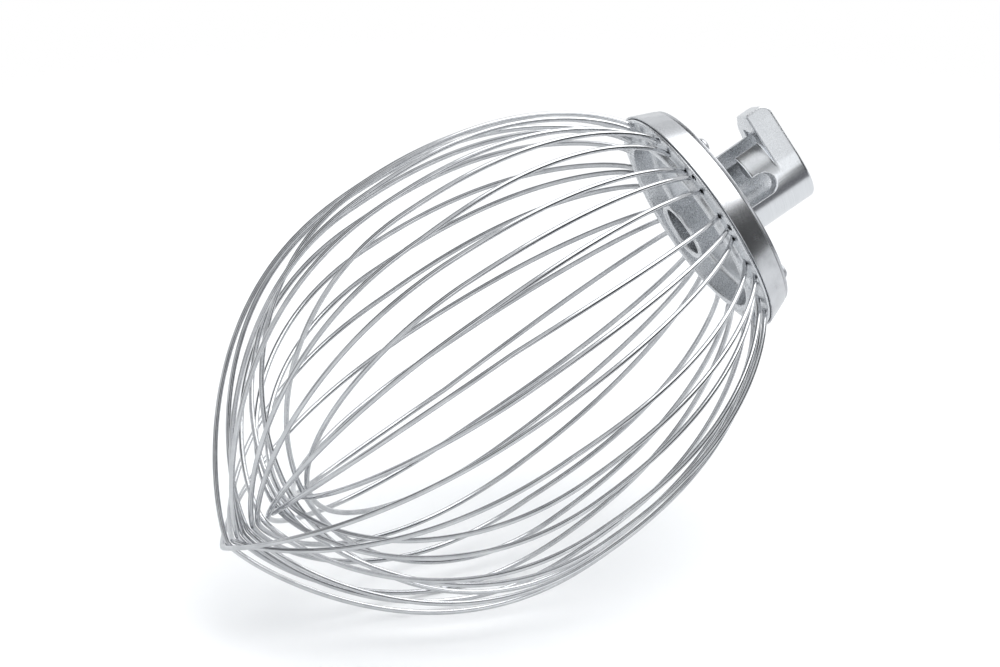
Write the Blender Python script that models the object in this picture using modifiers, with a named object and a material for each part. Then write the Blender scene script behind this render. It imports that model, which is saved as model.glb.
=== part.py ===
"""Planetary-mixer balloon whisk: a cast hub with a bayonet coupler, a steel rim band,
a cover plate with four screws, and eighteen wire loops stacked at the tip.

Origin at the centre of the coupler's mouth, +Z up the mixer's shaft, so the wires hang
below. Angles are in degrees, from the front (-Y) towards the right (+X). Metres.
"""
import math

import bmesh
import bpy
from mathutils import Matrix, Vector

MM = 0.001

# Coupler: barrel, bore, bayonet track and lug
BARREL_R = 20.9 * MM
BORE_R = 12.7 * MM
BORE_CHAMFER = 1.1 * MM
MOUTH_EDGE = 0.7 * MM
TRACK_WIDTH = 11.4 * MM
ENTRY_ANGLE = -63.0
POCKET_ANGLE = 10.5
ENTRY_REACH = 24.2 * MM
POCKET_TOP = -16.7 * MM
LEG_TOP = -26.2 * MM
LUG_ANGLE = 8.0
LUG_DEPTH = 12.4 * MM
LUG_REACH = 32.2 * MM
LUG_END_WIDTH = 17.0 * MM
LUG_ROUND = 5.0 * MM

# Flange, dish and boss of the casting; the flange's edge is a cone, narrower at the top
FLANGE_TOP = -44.3 * MM
FLANGE_FACE = -57.8 * MM
FLANGE_FACE_R = 59.1 * MM
RIM_INNER_R = 46.0 * MM
RIM_OUTER_R = 49.2 * MM
RIM_FACE = -61.2 * MM
DISH_FLOOR = -49.5 * MM
DISH_FILLET = 2.8 * MM
DISH_DRAFT = 1.2 * MM
BOSS_R = 15.6 * MM
BOSS_END = -65.8 * MM

# Rim band, cover plate and screws
BAND_TOP_R = 56.3 * MM
BAND_BOTTOM_R = 61.0 * MM
BAND_TOP = -44.3 * MM
BAND_BOTTOM = -55.9 * MM
BAND_THICK = 1.2 * MM
COVER_R = 55.4 * MM
COVER_BORE_R = 21.3 * MM
COVER_TOP = -42.4 * MM
COVER_THICK = 1.5 * MM
SCREW_COUNT = 4
SCREW_CIRCLE_R = 51.0 * MM
SCREW_FIRST_ANGLE = -34.0
SCREW_SHANK_R = 2.0 * MM
SCREW_LENGTH = 8.5 * MM
SCREW_HEAD_R = 3.9 * MM
SCREW_HEAD_HIGH = 2.0 * MM
SCREW_SOCKET_R = 1.45 * MM
SCREW_SOCKET_DEEP = 1.2 * MM
FIT = 0.3 * MM

# Wires: hole groups of three, one outer hole between two inner ones
WIRE_R = 1.3 * MM
WIRE_COUNT = 18
GROUP_ANGLE = 11.0
GROUP_COUNT = 12
OUTER_HOLE_R = 56.6 * MM
INNER_HOLE_R = 52.0 * MM
HOLE_SPREAD = 7.0
HOLE_TILT = 28.0
HOLE_CLEAR_R = 1.6 * MM
SINK_R = 2.0 * MM
SINK_OUT = 1.0 * MM
DRILL_DEPTH = 14.5 * MM
POCKET_FLOOR = -49.2 * MM
POCKET_INNER_R = 45.5 * MM
POCKET_OUTER_R = 53.9 * MM
POCKET_HALF_ANGLE = 10.4
HOOK_BEND = 1.8 * MM
HOOK_REACH = 3.0 * MM
HOOK_LIFT = 0.8 * MM
EXIT_STRAIGHT = 0.8 * MM
BELLY_R = 106.7 * MM
BELLY_Z = -188.0 * MM
TIP_Z = -337.3 * MM
TIP_STEP = 2.92 * MM
# How far each hand-set loop stands off its even place, in degrees, by loop
LOOP_TRIM = (0.0, -1.5, 1.5, 0.5, -1.0, 1.0, 0.0, 1.0, -1.0, 0.5, -0.5, 1.0, -0.5, 0.5, 1.0, -1.5, -2.0, 0.0)
# Place of each loop in the stack at the tip, 0 the lowest, by loop from the first azimuth
TIP_ORDER = (15, 0, 2, 13, 11, 8, 12, 5, 1, 14, 4, 3, 16, 6, 7, 17, 9, 10)
TURN_STEPS = 64
LEG_POINTS = 16
TURN_WEIGHT = 40.0 * MM


def clear_scene():
    for item in list(bpy.data.objects):
        bpy.data.objects.remove(item, do_unlink=True)


def make_collection(name):
    group = bpy.data.collections.new(name)
    bpy.context.scene.collection.children.link(group)
    return group


def make_material(name, colour, roughness, metallic=1.0):
    material = bpy.data.materials.new(name)
    material.use_nodes = True
    shader = material.node_tree.nodes["Principled BSDF"]
    shader.inputs["Base Color"].default_value = (*colour, 1.0)
    shader.inputs["Roughness"].default_value = roughness
    shader.inputs["Metallic"].default_value = metallic
    return material


def polar(radius, degrees, z):
    angle = math.radians(degrees)
    return Vector((radius * math.sin(angle), -radius * math.cos(angle), z))


def add_object(name, data, group, material=None):
    item = bpy.data.objects.new(name, data)
    group.objects.link(item)
    if material is not None:
        data.materials.append(material)
    return item


def arc(centre, radius, start, end, steps):
    """Points of an arc in the profile plane, angles in degrees from +X."""
    points = []
    for step in range(steps + 1):
        angle = math.radians(start + (end - start) * step / steps)
        points.append((centre[0] + radius * math.cos(angle), centre[1] + radius * math.sin(angle)))
    return points


def turned(name, profile, group, material=None, steps=TURN_STEPS, closed=False):
    """A profile of (radius, z) points, run down the outer side, turned about Z."""
    mesh = bpy.data.meshes.new(name)
    edges = [(n, n + 1) for n in range(len(profile) - 1)]
    if closed:
        edges.append((len(profile) - 1, 0))
    mesh.from_pydata([(radius, 0.0, z) for radius, z in profile], edges, [])
    item = add_object(name, mesh, group, material)
    screw = item.modifiers.new("turn", "SCREW")
    screw.steps = steps
    screw.render_steps = steps
    screw.use_merge_vertices = True
    screw.merge_threshold = 0.00001
    return item


def hide_cutter(item):
    item.hide_render = True
    item.display_type = "WIRE"
    return item


def cut(item, cutter, operation="DIFFERENCE"):
    boolean = item.modifiers.new(cutter.name, "BOOLEAN")
    boolean.object = cutter
    boolean.operation = operation


def add_prism(bm, outline, bottom, top):
    """A closed upright prism on an outline of (x, y) points."""
    face = bm.faces.new([bm.verts.new((x, y, bottom)) for x, y in outline])
    extruded = bmesh.ops.extrude_face_region(bm, geom=[face])
    lifted = [v for v in extruded["geom"] if isinstance(v, bmesh.types.BMVert)]
    bmesh.ops.translate(bm, verts=lifted, vec=(0.0, 0.0, top - bottom))


def mesh_from(bm, name):
    bmesh.ops.recalc_face_normals(bm, faces=bm.faces)
    mesh = bpy.data.meshes.new(name)
    bm.to_mesh(mesh)
    bm.free()
    return mesh


def sector_outline(inner, outer, start, end, steps):
    far = [polar(outer, start + (end - start) * n / steps, 0.0) for n in range(steps + 1)]
    near = [polar(inner, end + (start - end) * n / steps, 0.0) for n in range(steps + 1)]
    return [(point.x, point.y) for point in far + near]


def hole_places():
    """Radius and angle of every wire hole in the flange."""
    places = []
    for group in range(GROUP_COUNT):
        middle = GROUP_ANGLE + group * 360.0 / GROUP_COUNT
        places.append((OUTER_HOLE_R, middle))
        places.append((INNER_HOLE_R, middle - HOLE_SPREAD))
        places.append((INNER_HOLE_R, middle + HOLE_SPREAD))
    return places


def cone_radius(z, inset):
    """Radius of the flange's conical edge at a height, less an inset."""
    share = (z - BAND_TOP) / (BAND_BOTTOM - BAND_TOP)
    return BAND_TOP_R + (BAND_BOTTOM_R - BAND_TOP_R) * share - inset


def casting_profile():
    inset = BAND_THICK + FIT
    edge = 0.5 * MM
    edge_foot = FLANGE_FACE + 0.9 * MM
    points = [(0.0, 0.0), (BARREL_R - MOUTH_EDGE, 0.0), (BARREL_R, -MOUTH_EDGE)]
    points += [(BARREL_R, FLANGE_TOP), (cone_radius(FLANGE_TOP, inset + edge), FLANGE_TOP)]
    points += [(cone_radius(FLANGE_TOP - edge, inset), FLANGE_TOP - edge)]
    points += [(cone_radius(edge_foot, inset), edge_foot), (FLANGE_FACE_R, FLANGE_FACE)]
    points += [(RIM_OUTER_R + 0.6 * MM, FLANGE_FACE), (RIM_OUTER_R, RIM_FACE + 0.8 * MM)]
    points += [(RIM_OUTER_R - 0.8 * MM, RIM_FACE), (RIM_INNER_R + 0.6 * MM, RIM_FACE)]
    points += [(RIM_INNER_R, RIM_FACE + 0.6 * MM)]
    wall_foot = (RIM_INNER_R - DISH_DRAFT - DISH_FILLET, DISH_FLOOR - DISH_FILLET)
    points += arc(wall_foot, DISH_FILLET, 0, 90, 4)
    boss_foot = (BOSS_R + DISH_FILLET, DISH_FLOOR - DISH_FILLET)
    points += arc(boss_foot, DISH_FILLET, 90, 180, 4)
    points += [(BOSS_R, BOSS_END + MOUTH_EDGE), (BOSS_R - MOUTH_EDGE, BOSS_END), (0.0, BOSS_END)]
    return points


def lug_mesh():
    """Bayonet lug: flat in front, square at its end, running back into the barrel."""
    back = BARREL_R - LUG_END_WIDTH
    inside = BORE_R + 3.0 * MM
    outline = [(BARREL_R, 0.0), (BARREL_R, -LUG_REACH), (back, -LUG_REACH)]
    outline += [(back - 9.0 * MM, -LUG_REACH + 5.5 * MM), (-inside, -inside * 0.62), (-2.0 * MM, 0.0)]
    turn = math.radians(LUG_ANGLE)
    front = Vector((math.sin(turn), -math.cos(turn)))
    side = Vector((math.cos(turn), math.sin(turn)))
    points = [(front * depth + side * across)[:] for depth, across in outline]
    bm = bmesh.new()
    add_prism(bm, points, -LUG_DEPTH, 0.0)
    bm.edges.ensure_lookup_table()
    end_points = [Vector(points[1]), Vector(points[2])]
    end_edges = []
    for edge in bm.edges:
        flat = [vert.co.to_2d() for vert in edge.verts]
        at_end = all(min((place - end).length for end in end_points) < 0.0001 for place in flat)
        if at_end and all(vert.co.z > -0.0001 for vert in edge.verts):
            end_edges.append(edge)
    bmesh.ops.bevel(bm, geom=end_edges, offset=LUG_ROUND, segments=5, profile=0.5, affect="EDGES")
    return mesh_from(bm, "lug_shape")


def track_cutters(cutters):
    """Bayonet track: straight entry from the mouth, a level leg, and a pocket back up."""
    half = TRACK_WIDTH / 2.0
    leg_bottom = LEG_TOP - TRACK_WIDTH
    made = []
    boxes = (
        ("entry_cut", ENTRY_ANGLE, ENTRY_REACH, leg_bottom, 1.0 * MM),
        ("pocket_cut", POCKET_ANGLE, BARREL_R + 4.0 * MM, leg_bottom, POCKET_TOP - half),
    )
    for name, angle, reach, bottom, top in boxes:
        out = polar(1.0, angle, 0.0).to_2d()
        along = Vector((-out.y, out.x))
        corners = ((4.0 * MM, -half), (reach, -half), (reach, half), (4.0 * MM, half))
        bm = bmesh.new()
        add_prism(bm, [(out * far + along * wide)[:] for far, wide in corners], bottom, top)
        made.append(hide_cutter(add_object(name, mesh_from(bm, name), cutters)))
    bm = bmesh.new()
    reach_angle = math.degrees(math.asin(half / BARREL_R))
    outline = sector_outline(
        4.0 * MM, BARREL_R + 3.3 * MM, ENTRY_ANGLE - reach_angle, POCKET_ANGLE + reach_angle, 10
    )
    add_prism(bm, outline, leg_bottom, LEG_TOP)
    made.append(hide_cutter(add_object("leg_cut", mesh_from(bm, "leg_cut"), cutters)))
    bpy.ops.mesh.primitive_cylinder_add(vertices=24, radius=half, depth=22.0 * MM)
    end = bpy.context.active_object
    end.name = "pocket_end_cut"
    end.location = polar(4.0 * MM + 11.0 * MM, POCKET_ANGLE, POCKET_TOP - half)
    end.rotation_euler = (math.radians(90.0), 0.0, math.radians(POCKET_ANGLE))
    for group in list(end.users_collection):
        group.objects.unlink(end)
    cutters.objects.link(end)
    made.append(hide_cutter(end))
    return made


def hole_cutters(cutters):
    """Drilled wire holes, their countersinks, and the pockets behind each group."""
    drill = bmesh.new()
    sink = bmesh.new()
    for radius, angle in hole_places():
        turn = Matrix.Rotation(math.radians(angle), 4, "Z") @ Matrix.Rotation(math.radians(-HOLE_TILT), 4, "X")
        mouth = Matrix.Translation(polar(radius, angle, FLANGE_FACE)) @ turn
        bmesh.ops.create_cone(
            drill,
            cap_ends=True,
            segments=10,
            radius1=HOLE_CLEAR_R,
            radius2=HOLE_CLEAR_R,
            depth=DRILL_DEPTH,
            matrix=mouth @ Matrix.Translation((0.0, 0.0, DRILL_DEPTH / 2.0 - 2.5 * MM)),
        )
        height = SINK_R + SINK_OUT
        bmesh.ops.create_cone(
            sink,
            cap_ends=True,
            segments=12,
            radius1=height,
            radius2=0.2 * MM,
            depth=height,
            matrix=mouth @ Matrix.Translation((0.0, 0.0, height / 2.0 - SINK_OUT)),
        )
    pockets = bmesh.new()
    for group in range(GROUP_COUNT):
        middle = GROUP_ANGLE + group * 360.0 / GROUP_COUNT
        outline = sector_outline(
            POCKET_INNER_R, POCKET_OUTER_R, middle - POCKET_HALF_ANGLE, middle + POCKET_HALF_ANGLE, 4
        )
        add_prism(pockets, outline, POCKET_FLOOR, FLANGE_TOP + 1.0 * MM)
    screws = bmesh.new()
    for number in range(SCREW_COUNT):
        angle = SCREW_FIRST_ANGLE + number * 360.0 / SCREW_COUNT
        made = bmesh.ops.create_cone(
            screws,
            cap_ends=True,
            segments=16,
            radius1=SCREW_SHANK_R + FIT,
            radius2=SCREW_SHANK_R + FIT,
            depth=2.0 * (SCREW_LENGTH + FIT),
        )
        bmesh.ops.translate(screws, verts=made["verts"], vec=polar(SCREW_CIRCLE_R, angle, COVER_TOP))
    named = (("screw_cut", screws), ("wire_pocket_cut", pockets), ("drill_cut", drill), ("sink_cut", sink))
    return [hide_cutter(add_object(name, mesh_from(bm, name), cutters)) for name, bm in named]


def build_hub(parts, cutters, material):
    hub = turned("cast_hub", casting_profile(), parts, material)
    lug = hide_cutter(add_object("lug_shape", lug_mesh(), cutters))
    cut(hub, lug, "UNION")
    bore_profile = [
        (0.0, 2.0 * MM),
        (BORE_R + BORE_CHAMFER + 2.0 * MM, 2.0 * MM),
        (BORE_R, -BORE_CHAMFER),
        (BORE_R, BOSS_END + BORE_CHAMFER),
        (BORE_R + BORE_CHAMFER + 2.0 * MM, BOSS_END - 2.0 * MM),
        (0.0, BOSS_END - 2.0 * MM),
    ]
    cut(hub, hide_cutter(turned("bore_cut", bore_profile, cutters, steps=48)))
    for cutter in track_cutters(cutters):
        cut(hub, cutter)
    hole_set = hole_cutters(cutters)
    for cutter in hole_set:
        cut(hub, cutter)
    return hub, hole_set[0]


def build_band(parts, material):
    """Conical polished band with rounded edges."""
    edge = 0.4 * MM
    upper = BAND_TOP - edge
    lower = BAND_BOTTOM + edge
    profile = [(cone_radius(BAND_TOP, BAND_THICK), BAND_TOP), (cone_radius(BAND_TOP, edge), BAND_TOP)]
    profile += [(cone_radius(upper, 0.0), upper), (cone_radius(lower, 0.0), lower)]
    profile += [(cone_radius(BAND_BOTTOM, edge), BAND_BOTTOM)]
    profile += [(cone_radius(BAND_BOTTOM, BAND_THICK), BAND_BOTTOM)]
    return turned("rim_band", profile, parts, material, closed=True)


def build_cover(parts, material, screw_cutter):
    edge = 0.25 * MM
    bottom = COVER_TOP - COVER_THICK
    profile = [(COVER_BORE_R, COVER_TOP), (COVER_R - edge, COVER_TOP), (COVER_R, COVER_TOP - edge)]
    profile += [(COVER_R, bottom + edge), (COVER_R - edge, bottom), (COVER_BORE_R, bottom)]
    cover = turned("cover_plate", profile, parts, material, closed=True)
    cut(cover, screw_cutter)
    return cover


def build_screws(parts, cutters, material):
    """Button-head screws with a hexagon socket."""
    head_base = FIT
    profile = [(0.0, head_base + SCREW_HEAD_HIGH), (SCREW_HEAD_R * 0.45, head_base + SCREW_HEAD_HIGH)]
    profile += [(SCREW_HEAD_R * 0.8, head_base + SCREW_HEAD_HIGH * 0.72)]
    profile += [(SCREW_HEAD_R, head_base + SCREW_HEAD_HIGH * 0.2), (SCREW_HEAD_R, head_base)]
    profile += [(SCREW_SHANK_R, head_base), (SCREW_SHANK_R, -SCREW_LENGTH + 0.5 * MM)]
    profile += [(SCREW_SHANK_R - 0.5 * MM, -SCREW_LENGTH), (0.0, -SCREW_LENGTH)]
    for number in range(SCREW_COUNT):
        place = polar(SCREW_CIRCLE_R, SCREW_FIRST_ANGLE + number * 360.0 / SCREW_COUNT, COVER_TOP)
        screw = turned(f"cover_screw_{number + 1}", profile, parts, material, steps=14)
        screw.location = place
        bpy.ops.mesh.primitive_cylinder_add(
            vertices=6, radius=SCREW_SOCKET_R, depth=2.0 * SCREW_SOCKET_DEEP, end_fill_type="NGON"
        )
        socket = bpy.context.active_object
        socket.name = f"socket_cut_{number + 1}"
        socket.location = place + Vector((0.0, 0.0, head_base + SCREW_HEAD_HIGH))
        for group in list(socket.users_collection):
            group.objects.unlink(socket)
        cutters.objects.link(hide_cutter(socket))
        cut(screw, socket)


def bend(start, heading, target, radius, steps):
    """Points of a bend in the profile plane, from one heading to another, in degrees."""
    side = math.copysign(90.0, target - heading)
    middle = math.radians(heading + side)
    centre = (start[0] + radius * math.cos(middle), start[1] + radius * math.sin(middle))
    return arc(centre, radius, heading - side, target - side, steps)


def thin_path(dense, count):
    """Count points of a dense path, close together where it turns."""
    places = [Vector(point) for point in dense]
    travelled = [0.0]
    for n in range(1, len(places)):
        ahead = places[n] - places[n - 1]
        turn = 0.0
        if n > 1:
            turn = ahead.angle(places[n - 1] - places[n - 2], 0.0)
        travelled.append(travelled[-1] + ahead.length + TURN_WEIGHT * turn)
    chosen = []
    for step in range(1, count + 1):
        wanted = travelled[-1] * step / count
        chosen.append(min(range(len(dense)), key=lambda n: abs(travelled[n] - wanted)))
    return [dense[n] for n in chosen]


def half_loop(number):
    """One leg from its hooked end to the tip, as (radius, z), outer holes hooked inwards."""
    outer = number % 3 == 0
    hole_radius = OUTER_HOLE_R if outer else INNER_HOLE_R
    slope = math.tan(math.radians(HOLE_TILT))
    tip_place = TIP_ORDER[number]
    tip = TIP_Z + tip_place * TIP_STEP
    hook_start = POCKET_FLOOR + HOOK_LIFT
    bend_point = (hole_radius - slope * (hook_start - FLANGE_FACE), hook_start)
    hook = bend(bend_point, 90.0 + HOLE_TILT, 180.0 if outer else 0.0, HOOK_BEND, 3)[::-1]
    reach = -HOOK_REACH if outer else HOOK_REACH
    points = [(hook[0][0] + reach, hook[0][1])] + hook
    start = (hole_radius + slope * EXIT_STRAIGHT, FLANGE_FACE - EXIT_STRAIGHT)
    points.append(start)
    dense = [start]
    for step in range(1, 121):
        share = 1.0 - step / 120.0
        height = BELLY_Z + (start[1] - BELLY_Z) * share**0.6
        near = (height - BELLY_Z) / (start[1] - BELLY_Z)
        dense.append((start[0] + (BELLY_R - start[0]) * (1.0 - near**2.4) ** 0.8, height))
    depth = 1.0 - tip_place / (WIRE_COUNT - 1.0)
    sharp_power = 2.0 + 0.3 * depth
    round_power = 0.5 + 0.3 * depth
    for step in range(1, 161):
        along = math.sin(math.radians(90.0 * step / 160.0))
        shape = max(0.0, 1.0 - along**sharp_power) ** round_power
        dense.append((BELLY_R * shape, BELLY_Z + (tip - BELLY_Z) * along))
    return points + thin_path(dense, LEG_POINTS)


def wire_points(number):
    """A whole loop; it leaves its holes up to 3 degrees aside and is in line by the belly."""
    azimuth = GROUP_ANGLE + number * 180.0 / WIRE_COUNT
    lean = (0.0, HOLE_SPREAD - 10.0, 10.0 - HOLE_SPREAD)[number % 3]
    trim = LOOP_TRIM[number]
    leg = []
    for radius, z in half_loop(number):
        near = min(1.0, max(0.0, (z - BELLY_Z) / (FLANGE_FACE - BELLY_Z)))
        leg.append((radius, azimuth + lean * near + trim * (1.0 - near), z))
    first = [polar(radius, angle, z) for radius, angle, z in leg]
    second = [polar(radius, angle + 180.0, z) for radius, angle, z in leg[:-1]]
    return first + second[::-1]


def build_wires(parts, material):
    for number in range(WIRE_COUNT):
        name = f"wire_{number + 1:02d}"
        curve = bpy.data.curves.new(name, "CURVE")
        curve.dimensions = "3D"
        curve.bevel_depth = WIRE_R
        curve.bevel_resolution = 2
        curve.use_fill_caps = True
        points = wire_points(number)
        spline = curve.splines.new("POLY")
        spline.points.add(len(points) - 1)
        for place, point in zip(spline.points, points):
            place.co = (*point, 1.0)
        add_object(name, curve, parts, material)


def smooth_round(parts):
    for item in parts.objects:
        if item.type == "MESH":
            item.data.shade_smooth()


def main():
    clear_scene()
    parts = make_collection("balloon_whisk")
    cutters = make_collection("cutters")
    cast = make_material("cast_aluminium", (0.62, 0.64, 0.67), 0.42)
    polished = make_material("polished_steel", (0.80, 0.81, 0.83), 0.14)
    plate = make_material("rolled_steel", (0.66, 0.67, 0.69), 0.32)
    wire = make_material("drawn_steel_wire", (0.74, 0.75, 0.78), 0.20)
    hub, screw_cutter = build_hub(parts, cutters, cast)
    build_band(parts, polished)
    build_cover(parts, plate, screw_cutter)
    build_screws(parts, cutters, plate)
    build_wires(parts, wire)
    smooth_round(parts)
    axis = bpy.data.objects.new("whisk_axis", None)
    parts.objects.link(axis)
    for item in list(parts.objects):
        if item is not axis:
            item.parent = axis


main()
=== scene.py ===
import math

import bmesh
import bpy
from mathutils import Matrix, Vector


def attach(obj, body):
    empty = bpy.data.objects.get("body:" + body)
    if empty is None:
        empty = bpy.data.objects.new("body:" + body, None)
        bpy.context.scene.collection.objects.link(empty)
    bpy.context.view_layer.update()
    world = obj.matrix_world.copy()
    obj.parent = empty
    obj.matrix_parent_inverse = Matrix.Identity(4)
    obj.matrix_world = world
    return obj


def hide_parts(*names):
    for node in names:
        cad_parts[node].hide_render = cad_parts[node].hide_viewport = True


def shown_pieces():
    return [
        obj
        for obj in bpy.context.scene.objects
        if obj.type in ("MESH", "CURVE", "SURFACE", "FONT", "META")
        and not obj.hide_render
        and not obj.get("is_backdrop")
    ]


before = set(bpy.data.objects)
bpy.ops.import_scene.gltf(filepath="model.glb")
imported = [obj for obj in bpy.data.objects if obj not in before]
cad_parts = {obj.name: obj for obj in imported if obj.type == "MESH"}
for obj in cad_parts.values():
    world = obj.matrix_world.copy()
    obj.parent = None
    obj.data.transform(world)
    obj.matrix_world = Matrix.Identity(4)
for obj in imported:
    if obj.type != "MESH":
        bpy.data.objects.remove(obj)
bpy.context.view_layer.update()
mm = 0.001
print("frame loaded:", len(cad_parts), "nodes")


def polar(radius, degrees, z):
    angle = math.radians(degrees)  # from the front (-Y) towards the right (+X)
    return Vector((radius * math.sin(angle), -radius * math.cos(angle), z))


def newObject(name, mesh, material=None):
    piece = bpy.data.objects.new(name, mesh)
    bpy.context.scene.collection.objects.link(piece)
    if material:
        mesh.materials.append(material)
    return piece


def standFor(piece, node):
    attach(piece, "root")
    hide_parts(node)


def arc(centre, radius, start, end, steps):
    points = []
    for step in range(steps + 1):
        angle = math.radians(start + (end - start) * step / steps)
        points.append((centre[0] + radius * math.cos(angle), centre[1] + radius * math.sin(angle)))
    return points


def softened(profile, radius, steps=4, closed=False):
    # the profile with each corner replaced by a small curve
    nearlyStraight = 0.12  # radians of turn that need no curve
    longestShare = 0.45  # of a side that one curve may use
    count = len(profile)
    points = []
    for n, place in enumerate(profile):
        if not closed and n in (0, count - 1):
            points.append(place)
            continue
        here = Vector(place)
        before = Vector(profile[n - 1]) - here
        after = Vector(profile[(n + 1) % count]) - here
        turn = math.pi - before.angle(after)
        if turn < nearlyStraight:
            points.append(place)
            continue
        shorter = min(before.length, after.length)
        reach = min(radius * math.tan(turn / 2.0), shorter * longestShare)
        first = here + before.normalized() * reach
        last = here + after.normalized() * reach
        for step in range(steps + 1):
            share = step / steps
            point = first * (1 - share) ** 2 + here * 2 * share * (1 - share) + last * share**2
            points.append((point.x, point.y))
    return points


def addCone(bm, sides, bottomR, topR, length, matrix):
    bmesh.ops.create_cone(
        bm, cap_ends=True, segments=sides, radius1=bottomR * mm, radius2=topR * mm, depth=length * mm,
        matrix=matrix,
    )


def plainMesh(bm, name):
    bmesh.ops.recalc_face_normals(bm, faces=bm.faces)
    mesh = bpy.data.meshes.new(name)
    bm.to_mesh(mesh)
    bm.free()
    return mesh


def turnedMesh(name, profile, steps, closed=False):
    # a (radius, z) profile turned about Z; a point on the axis is one vertex
    onAxis = 1e-7
    bm = bmesh.new()
    rings = []
    for radius, z in profile:
        if radius < onAxis:
            rings.append([bm.verts.new((0.0, 0.0, z))])
        else:
            rings.append([bm.verts.new(polar(radius, 360.0 * n / steps, z)) for n in range(steps)])
    pairs = list(zip(rings, rings[1:]))
    if closed:
        pairs.append((rings[-1], rings[0]))
    for upper, lower in pairs:
        for n in range(steps):
            m = (n + 1) % steps
            above = (upper[n % len(upper)], upper[m % len(upper)])
            below = (lower[m % len(lower)], lower[n % len(lower)])
            corners = list(dict.fromkeys(above + below))
            if len(corners) > 2:
                bm.faces.new(corners)
    return plainMesh(bm, name)


def prism(bm, outline, bottom, top):
    low = [bm.verts.new((x, y, bottom)) for x, y in outline]
    high = [bm.verts.new((x, y, top)) for x, y in outline]
    bm.faces.new(low[::-1])
    bm.faces.new(high)
    for n in range(len(outline)):
        m = (n + 1) % len(outline)
        bm.faces.new((low[n], low[m], high[m], high[n]))


def orderedMesh(bm, name):
    # corners are rounded to 0.0001 mm and put in order, so that each run makes the same mesh
    digits = 7
    bmesh.ops.recalc_face_normals(bm, faces=bm.faces)
    places = {vertex: tuple(round(value, digits) for value in vertex.co) for vertex in bm.verts}
    ordered = sorted(bm.verts, key=places.get)
    number = {vertex: n for n, vertex in enumerate(ordered)}
    faces = []
    for face in bm.faces:
        loop = [number[vertex] for vertex in face.verts]
        first = loop.index(min(loop))
        faces.append(loop[first:] + loop[:first])
    mesh = bpy.data.meshes.new(name)
    mesh.from_pydata([places[vertex] for vertex in ordered], [], sorted(faces))
    bm.free()
    return mesh


def applied(piece):
    # the piece's mesh with its modifiers worked in
    graph = bpy.context.evaluated_depsgraph_get()
    mesh = bpy.data.meshes.new_from_object(piece.evaluated_get(graph))
    old = piece.data
    piece.modifiers.clear()
    piece.data = mesh
    bpy.data.meshes.remove(old)
    return piece


def dressed(piece, material, sharpAngle=None):
    piece.data.materials.clear()
    piece.data.materials.append(material)
    piece.data.shade_smooth()
    if sharpAngle:
        piece.data.set_sharp_from_angle(angle=math.radians(sharpAngle))


def booleaned(piece, steps):
    # each step is (mesh, operation); corners closer than tinyGap are joined afterwards
    tinyGap = 0.000002
    helpers = []
    for mesh, operation in steps:
        helper = newObject(mesh.name + "Helper", mesh)
        boolean = piece.modifiers.new(mesh.name, "BOOLEAN")
        boolean.object = helper
        boolean.operation = operation
        boolean.solver = "EXACT"
        helpers.append(helper)
    applied(piece)
    bm = bmesh.new()
    bm.from_mesh(piece.data)
    bmesh.ops.remove_doubles(bm, verts=bm.verts, dist=tinyGap)
    bmesh.ops.dissolve_degenerate(bm, edges=bm.edges, dist=tinyGap)
    bm.to_mesh(piece.data)
    bm.free()
    for helper in helpers:
        mesh = helper.data
        bpy.data.objects.remove(helper)
        bpy.data.meshes.remove(mesh)
    return piece


def newGroup(name, inputs, outputs):
    group = bpy.data.node_groups.new(name, "ShaderNodeTree")
    for label, kind, value in inputs:
        socket = group.interface.new_socket(name=label, in_out="INPUT", socket_type=kind)
        if value is not None:
            socket.default_value = value
    for label, kind in outputs:
        group.interface.new_socket(name=label, in_out="OUTPUT", socket_type=kind)
    return group, group.nodes.new("NodeGroupInput"), group.nodes.new("NodeGroupOutput")


def mathNode(tree, operation, first, second=None):
    node = tree.nodes.new("ShaderNodeMath")
    node.operation = operation
    for socket, value in zip(node.inputs, (first, second)):
        if value is None:
            continue
        if isinstance(value, bpy.types.NodeSocket):
            tree.links.new(value, socket)
        else:
            socket.default_value = value
    return node.outputs[0]


def mapRange(tree, value, fromLow, fromHigh, toLow=0.0, toHigh=1.0, smooth=False):
    node = tree.nodes.new("ShaderNodeMapRange")
    node.interpolation_type = "SMOOTHSTEP" if smooth else "LINEAR"
    labels = ("Value", "From Min", "From Max", "To Min", "To Max")
    for label, wanted in zip(labels, (value, fromLow, fromHigh, toLow, toHigh)):
        socket = node.inputs[label]
        if isinstance(wanted, bpy.types.NodeSocket):
            tree.links.new(wanted, socket)
        else:
            socket.default_value = wanted
    return node.outputs["Result"]


def noiseNode(tree, vector, scale, detail=3.0, roughness=0.55):
    node = tree.nodes.new("ShaderNodeTexNoise")
    tree.links.new(vector, node.inputs["Vector"])
    for label, value in (("Scale", scale), ("Detail", detail), ("Roughness", roughness)):
        if isinstance(value, bpy.types.NodeSocket):
            tree.links.new(value, node.inputs[label])
        else:
            node.inputs[label].default_value = value
    return node.outputs["Fac"]


def mixColour(tree, share, first, second):
    node = tree.nodes.new("ShaderNodeMix")
    node.data_type = "RGBA"
    for socket, value in ((node.inputs[0], share), (node.inputs[6], first), (node.inputs[7], second)):
        if isinstance(value, bpy.types.NodeSocket):
            tree.links.new(value, socket)
        else:
            socket.default_value = value if isinstance(value, float) else (*value, 1.0)
    return node.outputs[2]


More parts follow.
